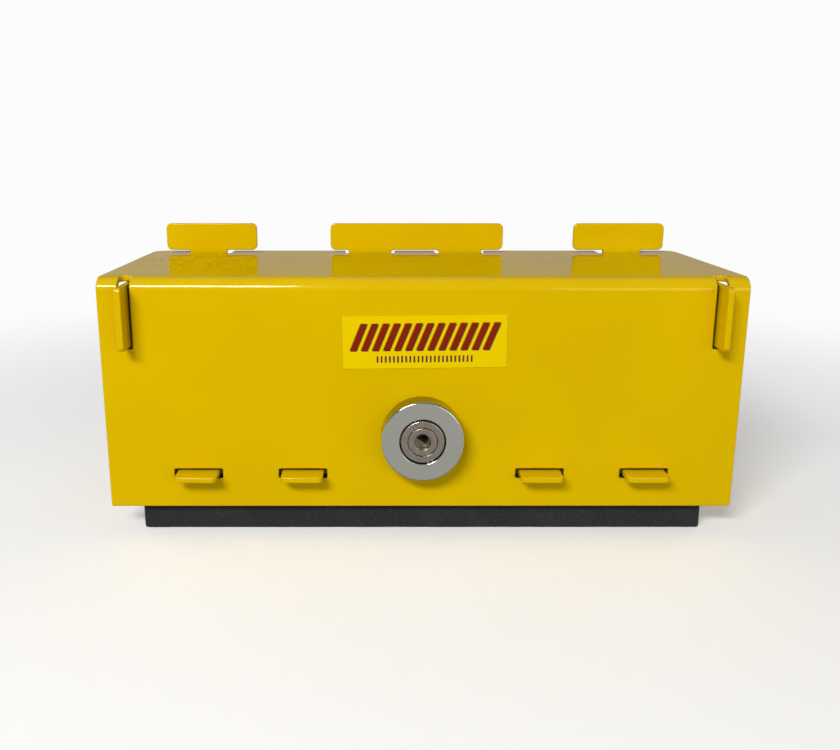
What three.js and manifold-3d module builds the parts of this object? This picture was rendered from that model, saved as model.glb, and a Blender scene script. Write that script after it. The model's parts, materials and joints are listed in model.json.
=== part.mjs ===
// A lockable rodent bait station in laser-cut sheet steel, in millimetres.
// X runs along its width, Y from its front to its back and Z up. The origin is the middle of its footprint.
//
// The fixed body is a base plate, a back plate and two end plates with an entrance each, on a thick pad.
// A folded cover closes its top and front. It slides backwards onto the body: notches in its rear edge
// pass under the back plate's hooks, and tabs of the base and end plates come out through slots in its
// front. A cam lock in the cover turns a quarter turn behind a bracket on the base plate, inside a ring that
// spins freely. Inside are two baffles, two lift-out rods threaded with bait blocks, and a crumb tray.

import * as THREE from "three";
import { mergeVertices } from "three/addons/utils/BufferGeometryUtils.js";
import Module from "manifold-3d";

const wasm = await Module();
wasm.setup();

// ---- Driving dimensions: a Y in these is measured backwards from the cover's front face ----

const SHEET = 3; // cover, base, back and end plates
const GAP = 0.3; // left between pieces that meet
const ARC_STEP = Math.PI / 10; // a rounded corner is drawn in steps of this
const AROUND = 48; // facets around a turned piece

const COVER = { width: 315, depth: 118.5, height: 117, bend: 6.5, rearCorner: 8, footCorner: 0.8 };
const FRONT_TAB = { at: [-112.3, -59.7, 59.7, 112.3], width: 21, reach: 10.2, corner: 2.5 };
const END_TAB_REACH = 11.5; // the foremost point of the station
const FRONT_Y = (END_TAB_REACH - COVER.depth) / 2;

const FOOT_Z = 14; // lower edge of the cover, back plate and end plates
const FLOOR_Z = 33.3; // top of the base plate
const TOP_Z = FOOT_Z + COVER.height;
const UNDER_TOP_Z = TOP_Z - SHEET;

const BODY = { half: 145.4, depth: 106 }; // outer face of an end plate, front face of the back plate
const INNER = BODY.half - SHEET;
const EDGE = SHEET + GAP; // front edge of the base and end plates
const REAR = BODY.depth - GAP; // their rear edge

// Hooks along the back plate's top edge: a head each, on one or two narrower necks.
const HOOK = { underZ: TOP_Z + 1.65, topZ: TOP_Z + 17.3, corner: 3, shoulderZ: UNDER_TOP_Z - GAP };
const HOOKS = [
  { head: [-147.5, -94], necks: [-123.1], neckWidth: 22.2 },
  { head: [-50.3, 52.1], necks: [-27, 27], neckWidth: 25.2 },
  { head: [94, 147.5], necks: [123.1], neckWidth: 22.2 },
];
const HOOK_WINDOW_CORNER = 2.2;
const NOTCH = { play: 2.2, depth: 104.8, corner: 2 }; // the cover's notches for the necks

const FRONT_SLOT = { width: 24.3, bottomZ: 29.1, topZ: 34.2, corner: 0.8 };
const END_TAB = { topZ: UNDER_TOP_Z - GAP, bottomZ: 97, corner: 2 };
const END_SLOT = { inner: 141.5, outer: 147.2, bottomZ: 96, depth: 8.2, corner: 2.6 };

const ENTRANCE = { radius: 27.5, y: 70, z: 67 };
const SIDE_FINGER = { at: [25, 85], width: 20 }; // base plate into an end plate
const REAR_FINGER = { at: [-90, 0, 90], width: 25 }; // base plate into the back plate
const END_FINGER = { at: [40, 95], height: 20 }; // end plate into the back plate
const ANCHOR = { x: 110, y: 50, radius: 4.5, padRadius: 6 }; // holes for screwing the station down

const PAD = { left: -143.1, right: 144.9, front: 5, corner: 2 }; // stuck on a little off the middle

const BAFFLE = { x: 75, sheet: 2, front: 48, topZ: 105, flange: 15 };
const ROD = { z: 85, radius: 3, play: 0.4, at: { front: 62, rear: 91 } };
const ROD_END = { radius: 6, head: 2.5, cap: 6.7, capWall: 2, play: 0.8 };
const BLOCK = { length: 36, half: 12, corner: 2, at: [-42, 0, 42], groove: 2, bore: 3.5 };
const TRAY = { half: 72, front: 50, rear: 104, height: 12, wall: 1.5, corner: 4 };

const LOCK_Z = 52;
const FACE = -11.2; // front of the ring, lock body and core
const RING = { radius: 20.3, bore: 11.35, lipBore: 10.25, lipFront: -4.9, chamfer: 0.6 };
const BARREL = { head: 10.75, headRear: -5.2, shoulder: 9.85, shank: 9.5, side: 8, rear: 17 };
const BARREL_BORE = { front: 7.35, rear: 6.5, step: 12 };
const CORE = { radius: 7.15, rear: 7.7, keyhole: 4.05, chamber: 5.6, chamberFront: -7.5 };
const DISC = { count: 4, radius: 5.3, thickness: 3.2, pitch: 3.7, keyway: 3, keywayFlat: -0.9, tilt: -1 };
const SPINDLE = { flange: 7.05, body: 6.2, bodyRear: 17.3, collar: 4.2, side: 5, thread: 2.3, rear: 32 };
const CAM = { front: 24, thickness: 3.5, half: 13.5, width: 10, corner: 2, hole: 5.6 };
const LOCK_NUT = { flats: 24, thickness: 5 };
const CAM_NUT = { flats: 7, thickness: 3 };
const BRACKET = { sheet: 4, front: 19, half: 30, topZ: 72, footRear: 41, play: 0.7, corner: 4 };
const BOLT = { x: 20, y: 32, radius: 3, flats: 10, head: 4, nut: 5, pocket: 9 };

const LABEL = { width: 80, height: 26.2, thickness: 0.25, corner: 0.6, tilt: -0.0118 };
const LABEL_AT = { x: 1, z: 99.7, gap: 0.05 };

// ---- Materials ----

const material = (color, roughness, metalness) =>
  new THREE.MeshStandardMaterial({ color, roughness, metalness });
const paint = material(0xdcb400, 0.25, 0);
const chrome = material(0xc8cccc, 0.12, 1);
const nickel = material(0x8f8779, 0.35, 1);
const zinc = material(0xaeb0ae, 0.4, 1);
const brass = material(0xa98f55, 0.35, 1);
const rubber = material(0x2c2d2f, 0.95, 0);
const wax = material(0x1f6f8f, 0.6, 0);
const plastic = material(0x222222, 0.5, 0);
const vinyl = material(0xe8c800, 0.4, 0);

// ---- Shapes and solids ----

// The points of a closed outline through [x, y, radius] corners, each rounded by its radius.
function outline(corners) {
  const points = [];
  corners.forEach(([x, y, radius = 0], i) => {
    const corner = new THREE.Vector2(x, y);
    const [beforeX, beforeY] = corners.at(i - 1);
    const [afterX, afterY] = corners[(i + 1) % corners.length];
    const arriving = new THREE.Vector2(x - beforeX, y - beforeY).normalize();
    const leaving = new THREE.Vector2(afterX - x, afterY - y).normalize();
    const turn = Math.atan2(arriving.cross(leaving), arriving.dot(leaving));
    if (radius === 0) {
      points.push(corner);
      return;
    }
    const reach = radius * Math.tan(Math.abs(turn) / 2);
    const start = corner.clone().addScaledVector(arriving, -reach);
    const inwards = new THREE.Vector2(-arriving.y, arriving.x).multiplyScalar(Math.sign(turn) * radius);
    const centre = start.clone().add(inwards);
    const steps = Math.ceil(Math.abs(turn) / ARC_STEP);
    for (let s = 0; s <= steps; s++) {
      points.push(start.clone().rotateAround(centre, (turn * s) / steps));
    }
  });
  return points;
}

const rectangle = (x0, y0, x1, y1, radius = 0) =>
  outline([[x0, y0, radius], [x1, y0, radius], [x1, y1, radius], [x0, y1, radius]]);

// A circle whose left and right sides are cut off at a distance from its centre, or not at all.
function circle(x, y, radius, flat = radius, around = 32) {
  const points = [];
  for (let i = 0; i < around; i++) {
    const angle = ((i + 0.5) / around) * 2 * Math.PI;
    const across = THREE.MathUtils.clamp(radius * Math.cos(angle), -flat, flat);
    points.push(new THREE.Vector2(x + across, y + radius * Math.sin(angle)));
  }
  return points;
}

const hexagon = (flats) => circle(0, 0, flats / Math.sqrt(3), undefined, 6);

// A piece lying flat: drawn in X and Y, its thickness upwards from Z = 0.
function flat(edge, holes, thickness) {
  const prism = (points, depth) =>
    new THREE.ExtrudeGeometry(new THREE.Shape(points), { depth, bevelEnabled: false });
  const tools = holes.map((hole) => prism(hole, thickness + 2).translate(0, 0, -1));
  return cut(prism(edge, thickness), ...tools);
}

// A piece facing the front: drawn in X and Z, its thickness backwards from Y = 0.
const facing = (points, holes, thickness) =>
  flat(points, holes, thickness).rotateX(Math.PI / 2).translate(0, thickness, 0);

// A piece facing an end: drawn in Y and Z, its thickness along X from X = 0.
const ending = (points, holes, thickness) =>
  flat(points, holes, thickness).rotateZ(Math.PI / 2).rotateY(Math.PI / 2);

// A piece turned about Y, from [radius, y] points that run from its front, outwards and back.
function turned(profile) {
  const points = profile.map(([radius, y]) => new THREE.Vector2(radius, y));
  if (profile[0][0] > 0) points.push(points[0].clone());
  return new THREE.LatheGeometry(points, AROUND);
}

function solid(geometry) {
  const bare = new THREE.BufferGeometry();
  bare.setAttribute("position", geometry.getAttribute("position"));
  bare.setIndex(geometry.index);
  const merged = mergeVertices(bare, 1e-4);
  return new wasm.Manifold(
    new wasm.Mesh({
      numProp: 3,
      vertProperties: merged.attributes.position.array,
      triVerts: new Uint32Array(merged.index.array),
    }),
  );
}

function combined(operation, first, others) {
  const whole = others.reduce((result, other) => result[operation](solid(other)), solid(first));
  const { vertProperties, triVerts } = whole.getMesh();
  return new THREE.BufferGeometry()
    .setAttribute("position", new THREE.BufferAttribute(vertProperties, 3))
    .setIndex(new THREE.BufferAttribute(triVerts, 1));
}

const cut = (geometry, ...tools) => combined("subtract", geometry, tools);
const joined = (geometry, ...others) => combined("add", geometry, others);
const shared = (geometry, ...others) => combined("intersect", geometry, others);

// A named mesh, placed from the front face, the middle of the width and the floor that it stands on.
function part(name, geometry, look, x = 0, y = 0, z = 0) {
  const mesh = new THREE.Mesh(geometry, look);
  mesh.name = name;
  mesh.position.set(x, FRONT_Y + y, z);
  return mesh;
}

// ---- The body ----

function basePlate() {
  const side = INNER - GAP;
  const corners = [[-side, EDGE]];
  for (const x of FRONT_TAB.at) {
    const half = FRONT_TAB.width / 2;
    const tip = -FRONT_TAB.reach;
    corners.push([x - half, EDGE], [x - half, tip, FRONT_TAB.corner]);
    corners.push([x + half, tip, FRONT_TAB.corner], [x + half, EDGE]);
  }
  corners.push([side, EDGE]);
  for (const y of SIDE_FINGER.at) {
    const half = SIDE_FINGER.width / 2;
    corners.push([side, y - half], [BODY.half, y - half], [BODY.half, y + half], [side, y + half]);
  }
  corners.push([side, REAR]);
  for (const x of REAR_FINGER.at.toReversed()) {
    const half = REAR_FINGER.width / 2;
    const tip = BODY.depth + SHEET;
    corners.push([x + half, REAR], [x + half, tip], [x - half, tip], [x - half, REAR]);
  }
  corners.push([-side, REAR]);
  for (const y of SIDE_FINGER.at.toReversed()) {
    const half = SIDE_FINGER.width / 2;
    corners.push([-side, y + half], [-BODY.half, y + half], [-BODY.half, y - half], [-side, y - half]);
  }
  const holes = [-1, 1].flatMap((way) => [
    circle(way * ANCHOR.x, ANCHOR.y, ANCHOR.radius),
    circle(way * BOLT.x, BOLT.y, BOLT.radius + GAP),
  ]);
  return part("base_plate", flat(outline(corners), holes, SHEET), paint, 0, 0, FLOOR_Z - SHEET);
}

// The notches up one vertical edge of the back plate, for an end plate's fingers.
const edgeNotches = (x, bottom) =>
  END_FINGER.at.flatMap((z) => [
    [x, z - GAP],
    [bottom, z - GAP],
    [bottom, z + END_FINGER.height + GAP],
    [x, z + END_FINGER.height + GAP],
  ]);

function backPlate() {
  const edge = BODY.half;
  const corners = [[-edge, FOOT_Z], [edge, FOOT_Z], ...edgeNotches(edge, INNER - GAP)];
  corners.push([edge, HOOK.shoulderZ]);
  for (const { head, necks, neckWidth } of HOOKS.toReversed()) {
    const right = necks.at(-1) + neckWidth / 2;
    const left = necks[0] - neckWidth / 2;
    corners.push([right, HOOK.shoulderZ], [right, HOOK.underZ]);
    corners.push([head[1], HOOK.underZ, HOOK.corner], [head[1], HOOK.topZ, HOOK.corner]);
    corners.push([head[0], HOOK.topZ, HOOK.corner], [head[0], HOOK.underZ, HOOK.corner]);
    corners.push([left, HOOK.underZ], [left, HOOK.shoulderZ]);
  }
  corners.push([-edge, HOOK.shoulderZ], ...edgeNotches(-edge, GAP - INNER).toReversed());

  const { necks, neckWidth } = HOOKS[1];
  const window = necks[1] - neckWidth / 2;
  const holes = [rectangle(-window, HOOK.shoulderZ, window, HOOK.underZ, HOOK_WINDOW_CORNER)];
  for (const x of REAR_FINGER.at) {
    const half = REAR_FINGER.width / 2 + GAP;
    holes.push(rectangle(x - half, FLOOR_Z - SHEET - GAP, x + half, FLOOR_Z + GAP));
  }
  return part("back_plate", facing(outline(corners), holes, SHEET), paint, 0, BODY.depth, 0);
}

// An end plate, with its front tab, its fingers into the back plate and the entrance.
function endPlate(name, x) {
  const tip = -END_TAB_REACH;
  const corners = [[EDGE, FOOT_Z], [REAR, FOOT_Z]];
  for (const z of END_FINGER.at) {
    const end = BODY.depth + SHEET;
    const top = z + END_FINGER.height;
    corners.push([REAR, z], [end, z], [end, top], [REAR, top]);
  }
  corners.push([REAR, END_TAB.topZ], [tip, END_TAB.topZ, END_TAB.corner]);
  corners.push([tip, END_TAB.bottomZ, END_TAB.corner], [EDGE, END_TAB.bottomZ]);
  const holes = [circle(ENTRANCE.y, ENTRANCE.z, ENTRANCE.radius, undefined, 48)];
  for (const y of SIDE_FINGER.at) {
    const half = SIDE_FINGER.width / 2 + GAP;
    holes.push(rectangle(y - half, FLOOR_Z - SHEET - GAP, y + half, FLOOR_Z + GAP));
  }
  return part(name, ending(outline(corners), holes, SHEET), paint, x);
}

// The pad has a ledge under the plates' lower edges, and a raised middle that fills the recess below the
// base plate.
function basePad() {
  const { left, right, front, corner } = PAD;
  const ledgeZ = FOOT_Z - GAP;
  const height = FLOOR_Z - SHEET - GAP;
  const side = INNER - GAP;
  const ledge = flat(rectangle(left, front, right, BODY.depth + SHEET, corner), [], ledgeZ);
  const middle = flat(rectangle(-side, front, side, REAR), [], height);
  const tools = [-1, 1].flatMap((way) => [
    flat(circle(way * ANCHOR.x, ANCHOR.y, ANCHOR.padRadius), [], 2 * height).translate(0, 0, -height / 2),
    flat(circle(way * BOLT.x, BOLT.y, BOLT.pocket), [], height).translate(0, 0, height - BOLT.pocket),
  ]);
  return part("base_pad", cut(joined(ledge, middle), ...tools), rubber);
}

// ---- Inside ----

// A baffle, folded outwards at its foot, with a slot open at the top for each rod.
function baffle(name, side) {
  const { sheet, front, topZ, flange } = BAFFLE;
  const foot = FLOOR_Z + GAP;
  const half = ROD.radius + ROD.play;
  const round = half * 0.99;
  const corners = [[front, foot], [REAR, foot], [REAR, topZ, 1]];
  for (const y of [ROD.at.rear, ROD.at.front]) {
    corners.push([y + half, topZ, 1], [y + half, ROD.z - half, round]);
    corners.push([y - half, ROD.z - half, round], [y - half, topZ, 1]);
  }
  corners.push([front, topZ, 3]);
  const start = side > 0 ? 0 : sheet - flange;
  const fold = flat(rectangle(start, front, start + flange, REAR), [], sheet).translate(0, 0, foot);
  const folded = joined(ending(outline(corners), [], sheet), fold);
  return part(name, folded, zinc, side > 0 ? BAFFLE.x : -BAFFLE.x - sheet);
}

// A rod lies along X: a headed pin with a push-on cap at its other end, both outside the baffles.
function rodAndBait(where, y) {
  const outside = BAFFLE.x + BAFFLE.sheet + ROD_END.play;
  const capEnd = outside + ROD_END.cap;
  const bore = capEnd - ROD_END.capWall;
  const pin = turned([
    [0, -outside - ROD_END.head],
    [ROD_END.radius, -outside - ROD_END.head],
    [ROD_END.radius, -outside],
    [ROD.radius, -outside],
    [ROD.radius, bore - GAP],
    [0, bore - GAP],
  ]);
  const cap = turned([
    [0, bore],
    [ROD.radius + GAP, bore],
    [ROD.radius + GAP, outside],
    [ROD_END.radius, outside],
    [ROD_END.radius, capEnd],
    [0, capEnd],
  ]);
  const along = (geometry) => geometry.rotateZ(-Math.PI / 2);
  const group = new THREE.Group();
  group.add(part(`bait_rod_${where}`, along(pin), zinc, 0, y, ROD.z));
  group.add(part(`rod_cap_${where}`, along(cap), plastic, 0, y, ROD.z));
  BLOCK.at.forEach((x, i) => {
    const name = `bait_block_${where}_${i + 1}`;
    group.add(part(name, baitBlock(), wax, x - BLOCK.length / 2, y, ROD.z));
  });
  return group;
}

// A square block with a V groove along each side.
function baitBlock() {
  const { half, corner, groove, length, bore } = BLOCK;
  const side = [[-half, -half, corner], [-groove, -half], [0, groove - half], [groove, -half]];
  const corners = [];
  for (let quarter = 0; quarter < 4; quarter++) {
    const turn = (quarter * Math.PI) / 2;
    for (const [x, y, radius] of side) {
      const point = new THREE.Vector2(x, y).rotateAround(new THREE.Vector2(), turn);
      corners.push([point.x, point.y, radius]);
    }
  }
  return ending(outline(corners), [circle(0, 0, bore, undefined, 24)], length);
}

function crumbTray() {
  const { half, front, rear, height, wall, corner } = TRAY;
  const block = flat(rectangle(-half, front, half, rear, corner), [], height);
  const hollow = flat(
    rectangle(wall - half, front + wall, half - wall, rear - wall, corner - wall), [], height,
  ).translate(0, 0, wall);
  return part("crumb_tray", cut(block, hollow), plastic, 0, 0, FLOOR_Z + GAP);
}

// The bracket that the cam turns behind. Its slot lets the cam through while it lies level.
function lockBracket() {
  const { sheet, front, half, topZ, footRear, play, corner } = BRACKET;
  const foot = FLOOR_Z + GAP;
  const reach = CAM.half + play;
  const rise = CAM.width / 2 + play;
  const upright = facing(
    outline([[-half, foot], [half, foot], [half, topZ, corner], [-half, topZ, corner]]),
    [rectangle(-reach, LOCK_Z - rise, reach, LOCK_Z + rise, corner)],
    sheet,
  ).translate(0, front, 0);
  const bolts = [-1, 1].map((way) => circle(way * BOLT.x, BOLT.y, BOLT.radius + GAP));
  const base = flat(rectangle(-half, front, half, footRear), bolts, sheet).translate(0, 0, foot);
  return part("lock_bracket", joined(upright, base), zinc);
}

function bracketBolt(side, x) {
  const headZ = FLOOR_Z + GAP + BRACKET.sheet + GAP;
  const nutZ = FLOOR_Z - SHEET - GAP - BOLT.nut;
  const head = flat(hexagon(BOLT.flats), [], BOLT.head);
  const shank = flat(circle(0, 0, BOLT.radius), [], headZ - nutZ + 1).translate(0, 0, nutZ - headZ);
  const nut = flat(hexagon(BOLT.flats), [circle(0, 0, BOLT.radius + GAP)], BOLT.nut);
  const group = new THREE.Group();
  group.add(part(`bracket_bolt_${side}`, joined(head, shank), zinc, x, BOLT.y, headZ));
  group.add(part(`bracket_nut_${side}`, nut, zinc, x, BOLT.y, nutZ));
  return group;
}

// ---- The cover and its lock ----

function frontCover() {
  const { width, depth, bend, rearCorner, footCorner } = COVER;
  const half = width / 2;
  const fold = outline([
    [0, FOOT_Z],
    [SHEET, FOOT_Z],
    [SHEET, UNDER_TOP_Z, bend - SHEET],
    [depth, UNDER_TOP_Z],
    [depth, TOP_Z],
    [0, TOP_Z, bend],
  ]);

  const plan = [[-half, -1], [half, -1], [half, depth, rearCorner]];
  for (const { necks, neckWidth } of HOOKS.toReversed()) {
    for (const x of necks.toReversed()) {
      const reach = neckWidth / 2 + NOTCH.play;
      plan.push([x + reach, depth], [x + reach, NOTCH.depth, NOTCH.corner]);
      plan.push([x - reach, NOTCH.depth, NOTCH.corner], [x - reach, depth]);
    }
  }
  plan.push([-half, depth, rearCorner]);

  const over = TOP_Z + 1;
  const front = [[-half, FOOT_Z, footCorner], [half, FOOT_Z, footCorner], [half, over], [-half, over]];
  const slots = FRONT_TAB.at.map((x) => {
    const reach = FRONT_SLOT.width / 2;
    return rectangle(x - reach, FRONT_SLOT.bottomZ, x + reach, FRONT_SLOT.topZ, FRONT_SLOT.corner);
  });
  const lockHole = circle(0, LOCK_Z, BARREL.shank + GAP, BARREL.side + GAP, AROUND);

  const folded = shared(
    ending(fold, [], width).translate(-half, 0, 0),
    flat(outline(plan), [], over),
    facing(outline(front), [...slots, lockHole], depth + 2).translate(0, -1, 0),
  );
  const endSlots = [-END_SLOT.outer, END_SLOT.inner].map((x) => {
    const { inner, outer, bottomZ, depth: reach, corner } = END_SLOT;
    const across = x + outer - inner;
    const slot = outline([[x, -1], [across, -1], [across, reach, corner], [x, reach, corner]]);
    return flat(slot, [], over - bottomZ).translate(0, 0, bottomZ);
  });
  return part("front_cover", cut(folded, ...endSlots), paint);
}

function frontLabel() {
  const { width, height, thickness, corner, tilt } = LABEL;
  const { x, z, gap } = LABEL_AT;
  const sticker = rectangle(-width / 2, -height / 2, width / 2, height / 2, corner);
  const mesh = part("front_label", facing(sticker, [], thickness), vinyl, x, -thickness - gap, z);
  mesh.rotation.y = tilt;
  return mesh;
}

const lockPart = (name, geometry, look) => part(name, geometry, look, 0, 0, LOCK_Z);

// The ring spins between the cover's face and the lock body's head, which holds it by its inner lip.
function guardRing() {
  const { radius, bore, lipBore, lipFront, chamfer } = RING;
  return lockPart("guard_ring", turned([
    [bore + chamfer / 2, FACE],
    [radius - chamfer, FACE],
    [radius, FACE + chamfer],
    [radius, -GAP],
    [lipBore, -GAP],
    [lipBore, lipFront],
    [bore, lipFront],
    [bore, FACE + chamfer / 2],
  ]), chrome);
}

function lockBody() {
  const { head, headRear, shoulder, shank, side, rear } = BARREL;
  const round = turned([
    [BARREL_BORE.front, FACE],
    [head - 0.4, FACE],
    [head, FACE + 0.4],
    [head, headRear],
    [shoulder, headRear],
    [shoulder, -GAP],
    [shank, -GAP],
    [shank, rear],
    [BARREL_BORE.rear, rear],
    [BARREL_BORE.rear, BARREL_BORE.step],
    [BARREL_BORE.front, BARREL_BORE.step],
  ]);
  const milled = (x) => facing(rectangle(x, -shank, x + shank, shank), [], rear + 1).translate(0, -GAP, 0);
  return lockPart("lock_body", cut(round, milled(side), milled(-side - shank)), nickel);
}

function lockNut() {
  const bore = circle(0, 0, BARREL.shank + GAP, undefined, AROUND);
  const nut = facing(hexagon(LOCK_NUT.flats), [bore], LOCK_NUT.thickness).translate(0, SHEET + GAP, 0);
  return lockPart("lock_nut", nut, nickel);
}

function lockCore() {
  const { radius, rear, keyhole, chamber, chamberFront } = CORE;
  return lockPart("lock_core", turned([
    [keyhole, FACE],
    [radius - 0.25, FACE],
    [radius, FACE + 0.25],
    [radius, rear],
    [chamber, rear],
    [chamber, chamberFront],
    [keyhole, chamberFront],
  ]), nickel);
}

// The discs that the key lines up, each with a round keyway flattened on one side.
function lockDiscs() {
  const keyway = circle(0, 0, DISC.keyway).filter(({ x }) => x > DISC.keywayFlat);
  const group = new THREE.Group();
  for (let i = 0; i < DISC.count; i++) {
    const disc = facing(circle(0, 0, DISC.radius, undefined, AROUND), [keyway], DISC.thickness);
    disc.rotateY(DISC.tilt).translate(0, CORE.chamberFront + GAP + i * DISC.pitch, 0);
    group.add(lockPart(`lock_disc_${i + 1}`, disc, brass));
  }
  return group;
}

function lockSpindle() {
  const { flange, body, bodyRear, collar, side, thread, rear } = SPINDLE;
  const collarRear = CAM.front - GAP;
  const squareRear = CAM.front + CAM.thickness - GAP;
  const round = turned([
    [0, CORE.rear + GAP],
    [flange, CORE.rear + GAP],
    [flange, BARREL_BORE.step - GAP],
    [body, BARREL_BORE.step - GAP],
    [body, bodyRear],
    [collar, bodyRear],
    [collar, collarRear],
    [0, collarRear],
  ]);
  const square = facing(rectangle(-side / 2, -side / 2, side / 2, side / 2), [], squareRear - bodyRear);
  const stud = facing(circle(0, 0, thread), [], rear - bodyRear);
  const spindle = joined(round, square.translate(0, bodyRear, 0), stud.translate(0, bodyRear, 0));
  return lockPart("lock_spindle", spindle, zinc);
}

// The cam lies level in the open lock, and upright once the key has turned it.
function lockCam() {
  const { front, thickness, half, width, corner, hole } = CAM;
  const bar = rectangle(-half, -width / 2, half, width / 2, corner);
  const square = rectangle(-hole / 2, -hole / 2, hole / 2, hole / 2);
  return lockPart("lock_cam", facing(bar, [square], thickness).translate(0, front, 0), zinc);
}

function camNut() {
  const nut = facing(hexagon(CAM_NUT.flats), [circle(0, 0, SPINDLE.thread + GAP)], CAM_NUT.thickness);
  return lockPart("cam_nut", nut.translate(0, CAM.front + CAM.thickness + GAP, 0), zinc);
}

// ---- Assembly ----

const body = new THREE.Group();
body.add(basePlate(), backPlate());
body.add(endPlate("end_plate_left", -BODY.half), endPlate("end_plate_right", INNER));
body.add(basePad(), baffle("baffle_left", -1), baffle("baffle_right", 1), lockBracket());
body.add(bracketBolt("left", -BOLT.x), bracketBolt("right", BOLT.x));

const bait = new THREE.Group();
bait.add(rodAndBait("front", ROD.at.front), rodAndBait("rear", ROD.at.rear), crumbTray());

const core = new THREE.Group();
core.add(lockCore(), lockDiscs(), lockSpindle(), lockCam(), camNut());

const cover = new THREE.Group();
cover.add(frontCover(), frontLabel(), guardRing(), lockBody(), lockNut(), core);

const station = new THREE.Group();
station.add(body, bait, cover);

export default station;
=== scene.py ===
"""The looks of the rodent bait station: refined pieces, their materials, the studio and the camera."""

import json
import math

import bmesh
import bpy
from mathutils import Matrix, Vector, noise

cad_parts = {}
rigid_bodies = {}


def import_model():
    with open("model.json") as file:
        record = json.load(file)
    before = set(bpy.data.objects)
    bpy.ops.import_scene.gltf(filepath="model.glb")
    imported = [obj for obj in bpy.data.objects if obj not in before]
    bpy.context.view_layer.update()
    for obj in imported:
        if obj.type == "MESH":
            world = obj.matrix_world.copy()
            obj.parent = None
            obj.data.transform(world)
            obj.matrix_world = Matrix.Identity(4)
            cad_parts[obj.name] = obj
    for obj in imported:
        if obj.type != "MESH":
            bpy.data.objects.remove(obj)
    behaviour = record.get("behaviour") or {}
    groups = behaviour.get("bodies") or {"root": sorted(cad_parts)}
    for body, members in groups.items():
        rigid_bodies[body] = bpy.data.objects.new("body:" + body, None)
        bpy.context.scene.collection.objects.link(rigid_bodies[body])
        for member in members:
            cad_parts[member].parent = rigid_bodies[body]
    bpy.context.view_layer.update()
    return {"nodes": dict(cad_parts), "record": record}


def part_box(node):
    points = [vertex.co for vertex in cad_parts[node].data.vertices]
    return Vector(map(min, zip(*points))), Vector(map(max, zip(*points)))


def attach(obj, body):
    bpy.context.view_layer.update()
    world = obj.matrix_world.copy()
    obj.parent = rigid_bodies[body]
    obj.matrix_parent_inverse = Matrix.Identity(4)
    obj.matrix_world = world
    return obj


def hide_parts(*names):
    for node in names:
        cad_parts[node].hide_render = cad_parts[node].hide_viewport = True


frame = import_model()

MM = 0.001
BODY_OF = {node: body for body, nodes in frame["record"]["behaviour"]["bodies"].items() for node in nodes}
SLOT_OF = {entry["node"]: entry["material_slot"] for entry in frame["record"]["subparts"]}
GAP = 0.3 * MM  # what the CAD model leaves between pieces that touch
SHEET = 3.0 * MM
FACE_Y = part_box("front_cover")[0].y


def middle(node):
    low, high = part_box(node)
    return (low + high) / 2


LOCK = middle("lock_nut")


# ---- Shader helpers ----


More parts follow.
